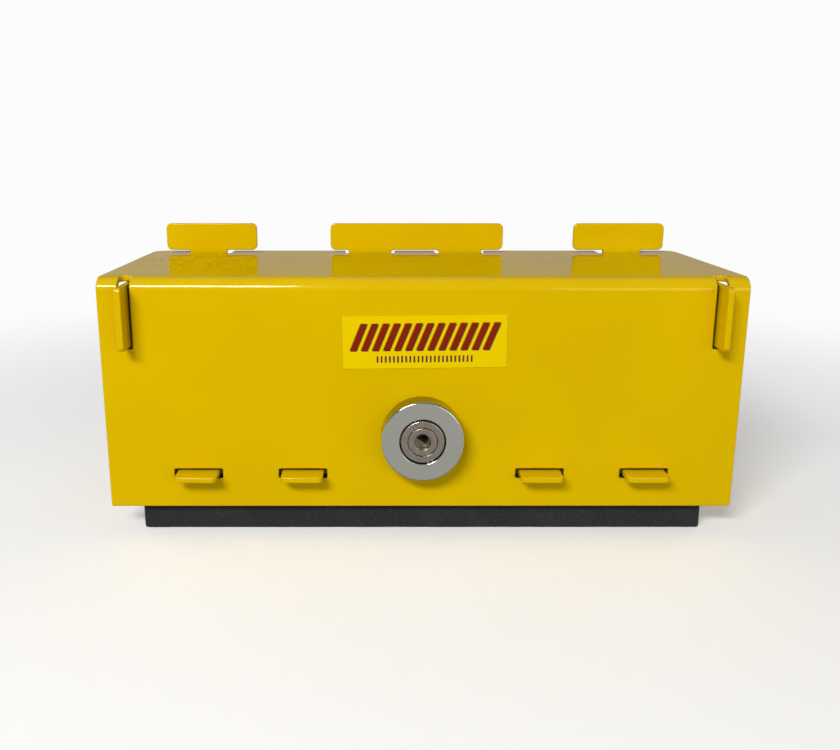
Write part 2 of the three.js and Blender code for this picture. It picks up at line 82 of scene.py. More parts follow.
class Shader:
    """A material, with a short way to add nodes to it. An input is a value or another node's output."""

    def __init__(self, name):
        self.material = bpy.data.materials.new(name)
        self.material.use_nodes = True
        self.tree = self.material.node_tree
        self.surface = self.tree.nodes["Principled BSDF"]
        self.place = self.node("ShaderNodeTexCoord", {}, "Object")

    def node(self, kind, inputs, output=0, **settings):
        made = self.tree.nodes.new(kind)
        for name, value in settings.items():
            setattr(made, name, value)
        self.fill(made, inputs)
        return made.outputs[output]

    def fill(self, node, inputs):
        for name, value in inputs.items():
            if isinstance(value, bpy.types.NodeSocket):
                self.tree.links.new(value, node.inputs[name])
            else:
                node.inputs[name].default_value = value

    def finish(self, **inputs):
        self.fill(self.surface, {name.replace("_", " "): value for name, value in inputs.items()})
        return self.material

    def math(self, operation, *values):
        return self.node("ShaderNodeMath", dict(enumerate(values)), operation=operation)

    def vector(self, operation, *vectors, output=0):
        return self.node("ShaderNodeVectorMath", dict(enumerate(vectors)), output, operation=operation)

    def noise(self, scale, detail=2.0, roughness=0.5, at=None):
        inputs = {"Vector": at or self.place, "Scale": scale, "Detail": detail, "Roughness": roughness}
        return self.node("ShaderNodeTexNoise", inputs, "Fac")

    def stretched(self, scale, detail=2.0, roughness=0.5):
        """Noise with its own scale along each axis."""
        scaled = self.node("ShaderNodeMapping", {"Vector": self.place, "Scale": scale})
        return self.noise(1, detail, roughness, at=scaled)

    def cells(self, scale, output):
        return self.node("ShaderNodeTexVoronoi", {"Vector": self.place, "Scale": scale}, output)

    def brightness(self, color):
        return self.node("ShaderNodeRGBToBW", {"Color": color})

    def range(self, value, low, high, to_low=0.0, to_high=1.0):
        inputs = {"Value": value, "From Min": low, "From Max": high, "To Min": to_low, "To Max": to_high}
        return self.node("ShaderNodeMapRange", inputs)

    def mix(self, factor, first, second):
        made = self.tree.nodes.new("ShaderNodeMix")
        made.data_type = "RGBA"
        self.fill(made, {0: factor, 6: first, 7: second})
        return made.outputs[2]

    def bump(self, height, distance, strength=1.0, normal=None):
        inputs = {"Height": height, "Distance": distance, "Strength": strength}
        if normal is not None:
            inputs["Normal"] = normal
        return self.node("ShaderNodeBump", inputs)

    def split(self, vector):
        made = self.tree.nodes.new("ShaderNodeSeparateXYZ")
        self.fill(made, {0: vector})
        return made.outputs

    def inside_body(self):
        """1 between the end plates, behind the cover's sheet and under its top, and 0 elsewhere."""
        cover_low, cover_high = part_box("front_cover")
        low = (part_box("end_plate_left")[1].x, cover_low.y + SHEET, cover_low.z)
        high = (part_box("end_plate_right")[0].x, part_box("back_plate")[0].y, cover_high.z - SHEET)
        mask = 1.0
        for value, start, stop in zip(self.split(self.place), low, high):
            for edge, way in ((start, 1), (stop, -1)):
                beyond = self.math("MULTIPLY", self.math("SUBTRACT", value, edge), way)
                mask = self.math("MULTIPLY", mask, self.range(beyond, -0.5 * MM, 0.5 * MM))
        return mask

    def turning_marks(self, scale, detail):
        """Rings round the lock's axis, as a lathe leaves them."""
        flat = self.vector("MULTIPLY", self.vector("SUBTRACT", self.place, LOCK), (1, 0, 1))
        radius = self.vector("LENGTH", flat, output="Value")
        outward = self.node("ShaderNodeCombineXYZ", {"X": self.math("MULTIPLY", radius, scale)})
        return self.noise(1, detail, 0.7, at=outward)


def grey(value):
    return (value, value, value, 1.0)


# ---- Materials ----


ROUGH_PATCH = (middle("front_cover").x - 124 * MM, FACE_Y + 55 * MM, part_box("front_cover")[1].z)
PAINTED_SHADE_REACH = 9 * MM


def yellow_powder_coat():
    """A glossy coat with a fine ripple, a few nibs of baked powder and one patch of heavier ripple. Its
    colour is darkened to near black in crevices and slots as painted shade.
    """
    s = Shader("yellow_powder_coat")
    drift = s.range(s.noise(14, 3), 0.35, 0.65)
    speckle = s.range(s.noise(2600, 1), 0.3, 0.7)
    color = s.mix(drift, (0.72, 0.47, 0.0, 1), (0.755, 0.50, 0.0, 1))
    color = s.mix(s.math("MULTIPLY", speckle, 0.12), color, (0.62, 0.38, 0.001, 1))
    peel = s.noise(330, 2, 0.45)
    swell = s.noise(90, 1, 0.4)
    nibs = s.range(s.noise(700, 0), 0.74, 0.8)
    heavy = s.range(s.vector("DISTANCE", s.place, ROUGH_PATCH, output="Value"), 50 * MM, 25 * MM)
    runs = s.stretched((430, 85, 430), 1, 0.4)
    ripple = s.bump(swell, 0.00008, 0.5)
    ripple = s.bump(peel, 0.000035, 0.55, ripple)
    ripple = s.bump(runs, 0.00009, s.math("MULTIPLY", heavy, 0.75), ripple)
    ripple = s.bump(nibs, 0.00003, 0.35, ripple)
    # Ambient occlusion finds crevices and slots; the mask below paints shade into the coat's colour there.
    openness = s.node("ShaderNodeAmbientOcclusion", {"Distance": PAINTED_SHADE_REACH}, "AO", samples=8)
    crevice_shade_mask = s.range(openness, 0.45, 0.15)
    inside = s.inside_body()
    rise = s.split(s.node("ShaderNodeNewGeometry", {}, "Normal"))["Z"]
    upward = s.range(rise, 0.05, 0.25)
    level = s.range(rise, 0.9, 0.99)
    uneven = s.math("MULTIPLY", heavy, s.range(runs, 0.35, 0.65, -0.05, 0.12))
    sheen = s.math("ADD", s.range(level, 0, 1, 0.5, 0.05), s.math("MULTIPLY", level, uneven))
    open_to_light = s.range(s.math("MAXIMUM", crevice_shade_mask, inside), 0, 1, 1, 0)
    satin = s.range(s.noise(60, 2), 0.3, 0.7, 0.07, 0.10)
    return s.finish(
        # Painted shade: the colour goes near black where the crevice shade mask is full.
        Base_Color=s.mix(crevice_shade_mask, color, (0.045, 0.028, 0.003, 1)),
        Roughness=s.math("MULTIPLY_ADD", inside, 0.4, satin),
        Specular_IOR_Level=s.math("MULTIPLY", sheen, open_to_light),
        Specular_Tint=s.mix(upward, (1.0, 0.72, 0.02, 1), (1.0, 0.97, 0.6, 1)),
        Normal=ripple,
    )


def pad_rubber():
    """Matt black closed-cell rubber: fine pores, a saw-cut drag along its sides and a little grey dust."""
    s = Shader("pad_rubber")
    drag = s.stretched((60, 60, 900), 3)
    dust = s.range(s.noise(40, 5, 0.65), 0.45, 0.75)
    color = s.mix(s.math("MULTIPLY", dust, 0.35), (0.022, 0.022, 0.024, 1), (0.05, 0.05, 0.052, 1))
    specks = s.range(s.noise(1300, 1), 0.66, 0.8)
    color = s.mix(s.math("MULTIPLY", specks, 0.5), color, (0.16, 0.16, 0.165, 1))
    rough = s.bump(s.cells(1500.0, "Distance"), 0.0002, 0.6)
    rough = s.bump(drag, 0.0002, 0.4, rough)
    return s.finish(Base_Color=color, Roughness=0.92, Normal=rough, Specular_IOR_Level=0.3)


def ring_chrome():
    """Bright steel, darker round its side than on its faces, with faint turning rings and fine scratches.
    """
    s = Shader("ring_chrome")
    smudge = s.noise(120, 4, 0.6)
    grain = s.bump(s.turning_marks(9000.0, 4), 0.0000022, 0.6)
    grain = s.bump(s.stretched((1800, 40, 120)), 0.000002, 0.3, grain)
    along = s.split(s.node("ShaderNodeTexCoord", {}, "Normal"))["Y"]
    # The side, whose surface faces across the axis, gets the darker colour; the end faces get the brighter
    # one.
    end_face_mask = s.range(s.math("ABSOLUTE", along), 0.05, 0.5)
    face = s.mix(smudge, (0.63, 0.645, 0.585, 1), (0.73, 0.745, 0.68, 1))
    return s.finish(
        Base_Color=s.mix(end_face_mask, (0.30, 0.30, 0.29, 1), face),
        Metallic=1.0,
        Roughness=s.range(smudge, 0.3, 0.75, 0.09, 0.2),
        Normal=grain,
    )


def lock_nickel():
    """Warm satin nickel, faced on a lathe."""
    s = Shader("lock_nickel")
    tarnish = s.noise(300, 4, 0.6)
    return s.finish(
        Base_Color=s.mix(tarnish, (0.35, 0.30, 0.245, 1), (0.51, 0.455, 0.385, 1)),
        Metallic=1.0,
        Roughness=s.range(tarnish, 0.3, 0.7, 0.2, 0.33),
        Normal=s.bump(s.turning_marks(14000.0, 3), 0.000004, 0.7),
    )


def zinc_steel():
    """Bright zinc plate, a little blue and yellow in places."""
    s = Shader("zinc_steel")
    tint = s.noise(55, 3, 0.6)
    spangle = s.brightness(s.cells(420.0, "Color"))
    return s.finish(
        Base_Color=s.mix(tint, (0.50, 0.53, 0.57, 1), (0.62, 0.60, 0.54, 1)),
        Metallic=1.0,
        Roughness=s.range(spangle, 0.0, 1.0, 0.3, 0.44),
        Normal=s.bump(s.noise(1500, 3), 0.00001, 0.5),
    )


def disc_brass():
    """Dull, spotted brass."""
    s = Shader("disc_brass")
    tarnish = s.noise(500, 4, 0.6)
    return s.finish(
        Base_Color=s.mix(tarnish, (0.15, 0.13, 0.085, 1), (0.37, 0.325, 0.225, 1)),
        Metallic=1.0,
        Roughness=s.range(tarnish, 0.3, 0.7, 0.25, 0.42),
        Normal=s.bump(s.noise(2500, 2), 0.000006, 0.5),
    )


def black_plastic():
    """Moulded plastic with a spark-eroded texture."""
    s = Shader("black_plastic")
    grain = s.noise(1800, 3, 0.6)
    return s.finish(
        Base_Color=s.mix(s.noise(30, 3), (0.014, 0.014, 0.015, 1), (0.024, 0.024, 0.026, 1)),
        Roughness=s.range(grain, 0.3, 0.7, 0.42, 0.6),
        Normal=s.bump(grain, 0.00005, 0.5),
    )


def bait_wax():
    """Pressed wax bait: cereal flecks in dyed wax that light gets a little way into."""
    s = Shader("bait_wax")
    fleck = s.range(s.brightness(s.cells(620.0, "Color")), 0.62, 0.72)
    color = s.mix(s.noise(120, 4), (0.012, 0.115, 0.17, 1), (0.02, 0.17, 0.235, 1))
    color = s.mix(s.math("MULTIPLY", fleck, 0.55), color, (0.14, 0.30, 0.30, 1))
    lumps = s.bump(s.noise(260, 4, 0.6), 0.0006, 0.5)
    return s.finish(
        Base_Color=color,
        Roughness=0.5,
        Subsurface_Weight=0.25,
        Subsurface_Scale=0.002,
        Coat_Weight=0.15,
        Coat_Roughness=0.3,
        Normal=s.bump(fleck, 0.0001, 0.4, lumps),
    )


# The print on the label, in millimetres from its middle

LABEL_TILT = 0.0118  # radians
BARS = 13
BAR_PITCH = 5.4
BARS_START = -36.2
BAR_LEAN = 0.42
BAR_BOTTOM = -4.0
BAR_TOP = 9.4
SHADOW_RIGHT = 0.6
SHADOW_DOWN = 0.5
DASH_PITCH = 2.0
DASHES_REACH = 24.0
DASH_BOTTOM = -10.2
DASH_TOP = -6.9
PRINT_SOFTNESS = 0.06


def label_vinyl():
    """A printed sticker: a row of slanted bars with a shadow behind them, over a row of small dashes."""
    s = Shader("label_vinyl")
    moved = s.vector("SUBTRACT", s.place, middle("front_label"))
    level = s.node("ShaderNodeVectorRotate", {"Vector": moved, "Angle": LABEL_TILT, "Axis": (0, 1, 0)})
    x, _, z = (s.math("DIVIDE", value, MM) for value in s.split(level))

    def span(value, start, stop):
        """1 between start and stop, and 0 outside."""
        away = s.math("ABSOLUTE", s.math("SUBTRACT", value, (start + stop) / 2))
        reach = (stop - start) / 2
        return s.range(away, reach + PRINT_SOFTNESS, reach - PRINT_SOFTNESS)

    def bars(right, down):
        """The slanted bars, moved this far."""
        leaning = s.math("MULTIPLY_ADD", z, -BAR_LEAN, x)
        along = s.math("DIVIDE", s.math("SUBTRACT", leaning, right + BARS_START), BAR_PITCH)
        band = s.math("MULTIPLY", span(z, BAR_BOTTOM - down, BAR_TOP - down), span(along, 0, BARS))
        return s.math("MULTIPLY", band, span(s.math("FRACT", along), 0.2, 0.8))

    vinyl = s.mix(s.noise(90, 2), (0.84, 0.60, 0.0, 1), (0.87, 0.635, 0.0, 1))
    red = (0.235, 0.004, 0.003, 1)
    navy = (0.02, 0.01, 0.03, 1)
    color = s.mix(bars(SHADOW_RIGHT, SHADOW_DOWN), vinyl, navy)
    color = s.mix(bars(0.0, 0.0), color, red)
    dashes = span(s.math("FRACT", s.math("DIVIDE", x, DASH_PITCH)), 0.2, 0.66)
    row = s.math("MULTIPLY", span(z, DASH_BOTTOM, DASH_TOP), span(x, -DASHES_REACH, DASHES_REACH))
    color = s.mix(s.math("MULTIPLY", row, dashes), color, (0.12, 0.02, 0.03, 1))
    return s.finish(
        Base_Color=color,
        Roughness=0.3,
        Specular_Tint=(1.0, 0.7, 0.03, 1),
        Normal=s.bump(s.noise(400, 2), 0.00001, 0.4),
    )


FINISHES = {
    "yellow_powder_coat": yellow_powder_coat(),
    "pad_rubber": pad_rubber(),
    "ring_chrome": ring_chrome(),
    "lock_nickel": lock_nickel(),
    "zinc_steel": zinc_steel(),
    "disc_brass": disc_brass(),
    "black_plastic": black_plastic(),
    "bait_wax": bait_wax(),
    "label_vinyl": label_vinyl(),
}


# ---- Pieces ----


SHARP = math.radians(40)
BEVELLED = math.radians(32)
BEVEL_SEGMENTS = 3


def add_piece(name, mesh, node):
    """Shows the mesh in place of a node, on the node's body and in its material."""
    piece = bpy.data.objects.new(name, mesh)
    bpy.context.scene.collection.objects.link(piece)
    mesh.materials.clear()
    mesh.materials.append(FINISHES[SLOT_OF[node]])
    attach(piece, BODY_OF[node])
    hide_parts(node)
    return piece


def apply_modifiers(piece):
    graph = bpy.context.evaluated_depsgraph_get()
    done = bpy.data.meshes.new_from_object(piece.evaluated_get(graph), depsgraph=graph)
    piece.modifiers.clear()
    piece.data = done


def piece_of(node, shape):
    """The piece that stands for a node, from a bmesh."""
    name = f"{node}_finished"
    mesh = bpy.data.meshes.new(name)
    shape.to_mesh(mesh)
    shape.free()
    mesh.shade_smooth()
    return add_piece(name, mesh, node)


def apply_with_flat_shading(piece):
    """Applies the modifiers, with normals that make flat faces look flat."""
    shading = piece.modifiers.new("shading", "WEIGHTED_NORMAL")
    shading.keep_sharp = True
    shading.weight = 80  # 50 is neutral, and more lets the large faces lead
    apply_modifiers(piece)


def finished(node, shape):
    """Turns a bmesh into the piece that stands for a node, with its sharp edges kept."""
    bmesh.ops.recalc_face_normals(shape, faces=shape.faces)
    piece = piece_of(node, shape)
    piece.data.set_sharp_from_angle(angle=SHARP)
    apply_with_flat_shading(piece)
    return piece


def cad_shape(node):
    """The CAD node's shape as flat faces with no triangulation, ready for its edges to be rounded."""
    source = frame["nodes"][node].data
    shape = bmesh.new()
    verts = [shape.verts.new(v.co) for v in source.vertices]
    for polygon in source.polygons:
        corners = [verts[i] for i in polygon.vertices]
        if len(set(corners)) == 3:
            shape.faces.new(corners)
    bmesh.ops.remove_doubles(shape, verts=shape.verts, dist=0.002 * MM)
    bmesh.ops.dissolve_limit(shape, angle_limit=math.radians(0.4), verts=shape.verts, edges=shape.edges)
    return shape


def refined(node, edge):
    """A node with every sharp edge rounded by edge millimetres."""
    piece = piece_of(node, cad_shape(node))
    rounding = piece.modifiers.new("rounding", "BEVEL")
    rounding.width = edge * MM
    rounding.segments = BEVEL_SEGMENTS
    rounding.limit_method = "ANGLE"
    rounding.angle_limit = BEVELLED
    rounding.use_clamp_overlap = False
    rounding.loop_slide = False
    filling = piece.modifiers.new("filling", "TRIANGULATE")
    filling.min_vertices = 5
    filling.ngon_method = "BEAUTY"
    apply_with_flat_shading(piece)
    return piece


# ---- Turned pieces ----
# A station on a turned outline is (along, radius, sides, lean): how far along the axis, how far out, how
# many sides it has where it isn't round, with the radius then half its width across flats, and which way a
# chamfer draws its corners back along the axis.

SIDE_AND_UP = {0: (1, 2), 1: (0, 2), 2: (0, 1)}
AROUND = 192
COARSELY_AROUND = 96
NEARLY_STRAIGHT = math.radians(12)
CHAMFER_SLOPE = math.tan(math.radians(28))


def section(node, axis):
    """A turned node's outline in its upper half-plane, as (along, radius) points in order."""
    side, up = SIDE_AND_UP[axis]
    centre = middle(node)
    mesh = frame["nodes"][node].data
    points = {}
    for v in mesh.vertices:
        height = v.co[up] - centre[up]
        if abs(v.co[side] - centre[side]) < 0.003 * MM and height > -0.001 * MM:
            points[v.index] = (round(v.co[axis], 6), round(max(height, 0.0), 6))
    links = {}
    for edge in mesh.edges:
        a, b = (points.get(i) for i in edge.vertices)
        if a and b and a != b:
            links.setdefault(a, set()).add(b)
            links.setdefault(b, set()).add(a)
    ends = [point for point, others in links.items() if len(others) == 1]
    walk = [min(ends) if ends else min(links)]
    while True:
        ahead = sorted(p for p in links[walk[-1]] if p not in walk)
        if not ahead:
            return walk, not ends
        walk.append(ahead[0])


def filleted(points, closed, radius, steps=4):
    """The outline with each of its corners rounded by radius millimetres."""
    made = []
    for i, (along, out) in enumerate(points):
        corner = Vector((along, out))
        if not closed and i in (0, len(points) - 1):
            made.append(corner)
            continue
        before = Vector(points[i - 1]) - corner
        after = Vector(points[(i + 1) % len(points)]) - corner
        if math.pi - before.angle(after) < NEARLY_STRAIGHT:
            made.append(corner)
            continue
        reach = min(radius * MM, before.length * 0.4, after.length * 0.4)
        start = corner + before.normalized() * reach
        stop = corner + after.normalized() * reach
        for step in range(steps + 1):
            t = step / steps
            made.append(start * (1 - t) ** 2 + corner * 2 * t * (1 - t) + stop * t ** 2)
    return [(p.x, p.y, 0, 0) for p in made]


def polygon_radius(flat, sides, angle):
    """How far out a polygon's edge lies. One of its flats is at angle 0."""
    half_turn = math.pi / sides
    return flat / math.cos((angle + half_turn) % (2 * half_turn) - half_turn)


def revolved(stations, closed, axis, centre, around=AROUND):
    """Turns stations round a line along the axis. A hexagon's corners are drawn back by its chamfer."""
    side, up = SIDE_AND_UP[axis]
    shape = bmesh.new()
    rings = []
    for k in range(around):
        angle = 2 * math.pi * k / around
        ring = []
        for along, radius, sides, lean in stations:
            place = Vector(centre)
            if sides:
                spread = polygon_radius(radius, sides, angle)
                along += lean * (spread - radius) * CHAMFER_SLOPE
                radius = spread
            place[axis] = along
            place[side] += radius * math.cos(angle)
            place[up] += radius * math.sin(angle)
            ring.append(shape.verts.new(place))
        rings.append(ring)
    count = len(stations)
    for k, ring in enumerate(rings):
        following = rings[(k + 1) % around]
        for i in range(count if closed else count - 1):
            n = (i + 1) % count
            shape.faces.new((ring[i], ring[n], following[n], following[i]))
    bmesh.ops.remove_doubles(shape, verts=shape.verts, dist=0.0005 * MM)
    return shape


def turned(node, axis, edge):
    """A turned node with a finer curve and with its edges rounded by edge millimetres."""
    points, closed = section(node, axis)
    return finished(node, revolved(filleted(points, closed, edge), closed, axis, middle(node)))


THREAD_DEPTH = 0.45  # of the pitch
THREAD_STEPS = 6  # to each turn
SAME_PLACE = 0.01 * MM


def threaded(shape, axis, centre, radius, start, stop, pitch):
    """Cuts a screw thread into the vertices that lie on a cylinder between start and stop."""
    side, up = SIDE_AND_UP[axis]
    depth = THREAD_DEPTH * pitch
    for v in shape.verts:
        across, rise = v.co[side] - centre[side], v.co[up] - centre[up]
        out = math.hypot(across, rise)
        if abs(out - radius) > SAME_PLACE or not start < v.co[axis] < stop:
            continue
        turn = (v.co[axis] / pitch - math.atan2(rise, across) / (2 * math.pi)) % 1.0
        run_out = min(1.0, (v.co[axis] - start) / pitch, (stop - v.co[axis]) / pitch)
        cut = min(1.0, 1.35 * abs(2 * turn - 1)) * depth * run_out
        v.co[side] = centre[side] + across * (1 - cut / out)
        v.co[up] = centre[up] + rise * (1 - cut / out)


def divided(start, stop, radius, pitch):
    """Stations between two places on a cylinder that is to be threaded."""
    count = max(1, round(abs(stop - start) / (pitch / THREAD_STEPS)))
    return [(start + (stop - start) * i / count, radius, 0, 0) for i in range(count + 1)]


def nut(node, axis, bore):
    """A hexagon nut, chamfered on both faces, with a countersunk bore of this radius in millimetres."""
    low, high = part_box(node)
    side, _ = SIDE_AND_UP[axis]
    flat = (high[side] - low[side]) / 2
    start, stop = low[axis], high[axis]
    inner = bore * MM
    countersink = 0.06 * flat
    chamfer = 0.04 * flat
    face = 0.95 * flat
    stations = [
        (start + countersink, inner, 0, 0),
        (start, inner + countersink, 0, 0),
        (start, face, 0, 0),
        (start + chamfer, flat, 6, 1),
        (stop - chamfer, flat, 6, -1),
        (stop, face, 0, 0),
        (stop, inner + countersink, 0, 0),
        (stop - countersink, inner, 0, 0),
    ]
    return finished(node, revolved(stations, True, axis, middle(node), COARSELY_AROUND))


BOLT_HEAD = 4.0 * MM
PLAIN_SHANK = 2 * MM  # under the head, where the thread stops


def hex_bolt(node, shank, pitch):
    """A bolt that stands on its thread, head up."""
    low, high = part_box(node)
    flat = (high.x - low.x) / 2
    head = high.z - BOLT_HEAD
    tip = 0.6 * shank
    stations = [
        (high.z, 0.0, 0, 0),
        (high.z, flat * 0.93, 0, 0),
        (high.z - 0.04 * flat, flat, 6, -1),
        (head, flat, 6, 0),
        (head, shank, 0, 0),
        *divided(head - 0.3 * MM, low.z + tip, shank, pitch),
        (low.z, shank - tip, 0, 0),
        (low.z, 0.0, 0, 0),
    ]
    centre = middle(node)
    shape = revolved(stations, False, 2, centre, COARSELY_AROUND)
    threaded(shape, 2, centre, shank, low.z + tip / 2, head - PLAIN_SHANK, pitch)
    return finished(node, shape)


def with_thread(stations, radius, pitch):
    """Divides the stretch of a turned outline at this radius finely enough to be threaded."""
    on_it = []
    for i, (_, out, sides, _) in enumerate(stations):
        if abs(out - radius) < SAME_PLACE and not sides:
            on_it.append(i)
    first, last = on_it[0], on_it[-1]
    stations[first:last + 1] = divided(stations[first][0], stations[last][0], radius, pitch)


SHANK_THREAD = 1.25 * MM
THREAD_FROM_FACE = 3.6 * MM
FLAT_AT = 8.0 * MM


def lock_barrel():
    """The lock's body: a turned head and a threaded shank with two flats milled along it."""
    points, closed = section("lock_body", 1)
    centre = middle("lock_body")
    rear = max(along for along, _ in points)
    shank = max(out for along, out in points if along > rear - SAME_PLACE)
    start = min(along for along, out in points if abs(out - shank) < SAME_PLACE)
    stations = filleted(points, closed, 0.3)
    with_thread(stations, shank, SHANK_THREAD)
    shape = revolved(stations, closed, 1, centre)
    threaded(shape, 1, centre, shank, FACE_Y + THREAD_FROM_FACE, rear - 0.4 * MM, SHANK_THREAD)
    for v in shape.verts:
        if v.co.y > start - 0.05 * MM:
            v.co.x = min(max(v.co.x, centre.x - FLAT_AT), centre.x + FLAT_AT)
    return finished("lock_body", shape)


SPINDLE_SQUARE = 2.5 * MM  # half its width
SPINDLE_STUD = 2.3 * MM
STUD_THREAD = 0.7 * MM


def spindle():
    """The lock's spindle: a turned flange and collar, a square for the cam and a threaded stud."""
    points, _ = section("lock_spindle", 1)
    centre = middle("lock_spindle")
    shoulder = points[-1][0]
    square_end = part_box("lock_cam")[1].y - GAP
    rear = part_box("lock_spindle")[1].y
    stations = filleted([*points, (shoulder, SPINDLE_SQUARE)], False, 0.3)
    stations += [(shoulder, SPINDLE_SQUARE, 4, 0), (square_end, SPINDLE_SQUARE, 4, 0)]
    stations.append((square_end, SPINDLE_STUD, 0, 0))
    stations += divided(square_end + 0.1 * MM, rear - 0.3 * MM, SPINDLE_STUD, STUD_THREAD)
    stations += [(rear, SPINDLE_STUD - 0.3 * MM, 0, 0), (rear, 0.0, 0, 0)]
    shape = revolved(stations, False, 1, centre, COARSELY_AROUND)
    threaded(shape, 1, centre, SPINDLE_STUD, square_end, rear, STUD_THREAD)
    return finished("lock_spindle", shape)


# ---- Soft and pressed pieces ----

ANCHOR_HOLE_X = 110.0 * MM
ANCHOR_HOLE_Y = FACE_Y + 50.0 * MM
ANCHOR_HOLE_RADIUS = 6.0 * MM
NUT_POCKET_RADIUS = 9.0 * MM
NUT_POCKET_DEPTH = 9.0 * MM
PAD_CORNER = 2.0 * MM
PAD_CORNER_STEP = math.radians(22.5)
ALONG_PAD = 96  # points along the front and the back
ACROSS_PAD = 34  # points along each end
PAD_ROW = 2.2 * MM
PAD_SEAM = 0.03 * MM  # half of it
WORN_EDGE = ((0.0, 0.6), (0.2, 0.25), (0.5, 0.06))  # distance from the face, and how far worn back, in mm
STRAIGHT_FROM = 1.1 * MM


def ruled(start, stop, spacing):
    """The places between two heights, about spacing apart."""
    count = max(2, round((stop - start) / spacing))
    return [start + (stop - start) * i / count for i in range(count + 1)]


def pad_rim(left, right, front, rear):
    """Points and inward directions round a rectangle with small round corners, from its front left."""
    rim = []
    across, back = Vector((1, 0)), Vector((0, 1))
    sides = (
        (Vector((left, front)), across, right - left, ALONG_PAD),
        (Vector((right, front)), back, rear - front, ACROSS_PAD),
        (Vector((right, rear)), -across, right - left, ALONG_PAD),
        (Vector((left, rear)), -back, rear - front, ACROSS_PAD),
    )
    for start, along, length, count in sides:
        inward = Vector((-along.y, along.x))
        for i in range(count):
            at = PAD_CORNER + (length - 2 * PAD_CORNER) * i / (count - 1)
            rim.append((start + along * at, inward))
        turning = start + along * (length - PAD_CORNER) + inward * PAD_CORNER
        for i in (1, 2, 3):
            turn = i * PAD_CORNER_STEP
            way = -inward * math.cos(turn) + along * math.sin(turn)
            rim.append((turning + way * PAD_CORNER, -way))
    return rim


def saw_wander(point):
    """How far the saw strayed into the rubber: a slow drift and a short ripple, in metres."""
    drift = noise.noise(Vector((point.x, point.y, point.z * 0.6)) / (22 * MM))
    ripple = noise.noise(Vector((point.x, point.y, point.z * 0.3)) / (4.5 * MM) + Vector((7, 3, 1)))
    return (0.14 * (1 + drift) + 0.1 * (1 + ripple)) * MM


def layer_rows(shape, bottom, top, rim):
    """A layer's side as rows of vertices, from its bottom up."""
    insets = [(bottom + rise * MM, inset) for rise, inset in WORN_EDGE]
    insets += [(z, 0.0) for z in ruled(bottom + STRAIGHT_FROM, top - STRAIGHT_FROM, PAD_ROW)]
    insets += [(top - drop * MM, inset) for drop, inset in reversed(WORN_EDGE)]
    rows = []
    for z, inset in insets:
        row = []
        for point, inward in rim:
            depth = inset * MM + saw_wander(Vector((*point, z)))
            row.append(shape.verts.new((*(point + inward * depth), z)))
        rows.append(row)
    return rows


def hole_ring(shape, centre, radius, z, around=40):
    ring = []
    for i in range(around):
        turn = 2 * math.pi * i / around
        x = centre.x + radius * math.cos(turn)
        y = centre.y + radius * math.sin(turn)
        ring.append(shape.verts.new((x, y, z)))
    return ring


def ring_edges(shape, ring):
    return [shape.edges.get((ring[i - 1], ring[i])) for i in range(len(ring))]


def join_rings(shape, first, second):
    for i in range(len(first)):
        shape.faces.new((first[i - 1], first[i], second[i], second[i - 1]))


def foam_pad():
    """The pad: two layers of closed-cell rubber, saw-cut at their sides, the upper one inside the shell."""
    low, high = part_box("base_pad")
    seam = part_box("front_cover")[0].z - GAP
    left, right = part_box("end_plate_left")[1].x + GAP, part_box("end_plate_right")[0].x - GAP
    shape = bmesh.new()
    rows = layer_rows(shape, low.z, seam - PAD_SEAM, pad_rim(low.x, high.x, low.y, high.y))
    upper_rim = pad_rim(left, right, low.y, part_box("back_plate")[0].y - GAP)
    rows += layer_rows(shape, seam + PAD_SEAM, high.z, upper_rim)
    for first, second in zip(rows, rows[1:]):
        join_rings(shape, first, second)
    bottom_edges = ring_edges(shape, rows[0])
    top_edges = ring_edges(shape, rows[-1])
    for x in (-ANCHOR_HOLE_X, ANCHOR_HOLE_X):
        centre = Vector((x, ANCHOR_HOLE_Y))
        lower = hole_ring(shape, centre, ANCHOR_HOLE_RADIUS, low.z)
        upper = hole_ring(shape, centre, ANCHOR_HOLE_RADIUS, high.z)
        join_rings(shape, lower, upper)
        bottom_edges += ring_edges(shape, lower)
        top_edges += ring_edges(shape, upper)
    for side in ("left", "right"):
        centre = middle(f"bracket_nut_{side}")
        sunk = hole_ring(shape, centre, NUT_POCKET_RADIUS, high.z - NUT_POCKET_DEPTH)
        mouth = hole_ring(shape, centre, NUT_POCKET_RADIUS, high.z)
        join_rings(shape, sunk, mouth)
        shape.faces.new(sunk)
        top_edges += ring_edges(shape, mouth)
    bmesh.ops.triangle_fill(shape, edges=bottom_edges, use_beauty=True)
    bmesh.ops.triangle_fill(shape, edges=top_edges, use_beauty=True)
    pad = finished("base_pad", shape)


BAIT_EDGE = 0.6
BAIT_VOXEL = 0.8 * MM


def bait_block(node):
    """A pressed block: the grain's lumps stand out on it, and its edges have crumbled a little."""
    piece = refined(node, BAIT_EDGE)
    low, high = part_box(node)
    pressed = piece.modifiers.new("pressed", "REMESH")
    pressed.mode = "VOXEL"
    pressed.voxel_size = BAIT_VOXEL
    apply_modifiers(piece)
    outward = [v.normal.copy() for v in piece.data.vertices]
    for v, normal in zip(piece.data.vertices, outward):
        lump = noise.noise(v.co / (2.6 * MM)) + 0.6 * noise.noise(v.co / (1.1 * MM) + Vector((3, 5, 9)))
        v.co -= normal * max(0.0, 0.22 + 0.24 * lump) * MM
        for axis in range(3):
            v.co[axis] = min(max(v.co[axis], low[axis]), high[axis])
    piece.data.shade_smooth()


# How far the sharp edges of the other pieces are rounded, in millimetres, by material

